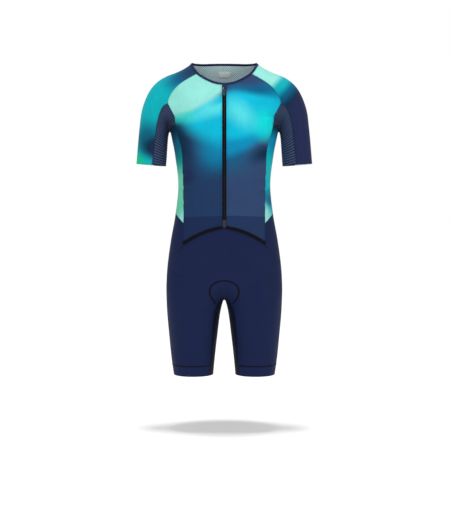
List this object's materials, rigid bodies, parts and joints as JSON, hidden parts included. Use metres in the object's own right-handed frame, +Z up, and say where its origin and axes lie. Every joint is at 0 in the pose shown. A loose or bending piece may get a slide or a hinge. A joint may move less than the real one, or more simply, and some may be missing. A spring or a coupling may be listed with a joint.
{
  "type": "triathlon suit",
  "caption": "Short-sleeved, knee-length one-piece triathlon suit with a front zip, raglan sleeves and ribbed under-sleeves, filled out as worn with nobody in it.",
  "frame": {"origin": "on the middle plane, level with the sides of the neck opening, where the wearer's shoulders carry it", "axes": "+X to the wearer's left, +Y to the back, +Z up"},
  "size_m": [0.5516, 0.2489, 0.9831],
  "materials": {
    "print_cyan": "knit lycra, soft sheen, printed cyan to mint",
    "print_teal": "knit lycra, soft sheen, printed teal",
    "print_mint": "knit lycra, soft sheen, printed mint",
    "navy_lycra": "smooth navy lycra, soft sheen",
    "ribbed_navy": "navy cloth with slanting raised ribs",
    "black_trim": "black elastic tape",
    "zip_plastic": "black coil zip and dark metal-look slider",
    "pad_foam": "thin fleece-faced foam",
    "label_grey": "bare pale grey woven label"
  },
  "bodies": {
    "suit": {"back": "print_teal", "front_left": "print_cyan", "front_right": "print_cyan", "hem_tape_left": "black_trim", "hem_tape_right": "black_trim", "inner_leg_left": "navy_lycra", "inner_leg_right": "navy_lycra", "leg_band_left": "navy_lycra", "leg_band_right": "navy_lycra", "neck_label": "label_grey", "neckband": "black_trim", "pad": "pad_foam", "shorts_back_left": "navy_lycra", "shorts_back_right": "navy_lycra", "shorts_front": "navy_lycra", "side_left": "print_mint", "side_right": "print_mint", "sleeve_left": "print_teal", "sleeve_right": "print_teal", "undersleeve_left": "ribbed_navy", "undersleeve_right": "ribbed_navy", "zip_box": "zip_plastic", "zip_chain": "zip_plastic", "zip_garage": "navy_lycra", "zip_slider": "zip_plastic", "zip_tape_left": "black_trim", "zip_tape_right": "black_trim"},
    "pull": {"zip_pull": "zip_plastic"}
  },
  "joints": [
    {"name": "pull_flip", "type": "hinge", "parent": "suit", "child": "pull", "pos_m": [0, -0.09912, -0.09596], "axis": [-1, 0, 0], "range_deg": [0, 150]}
  ]
}
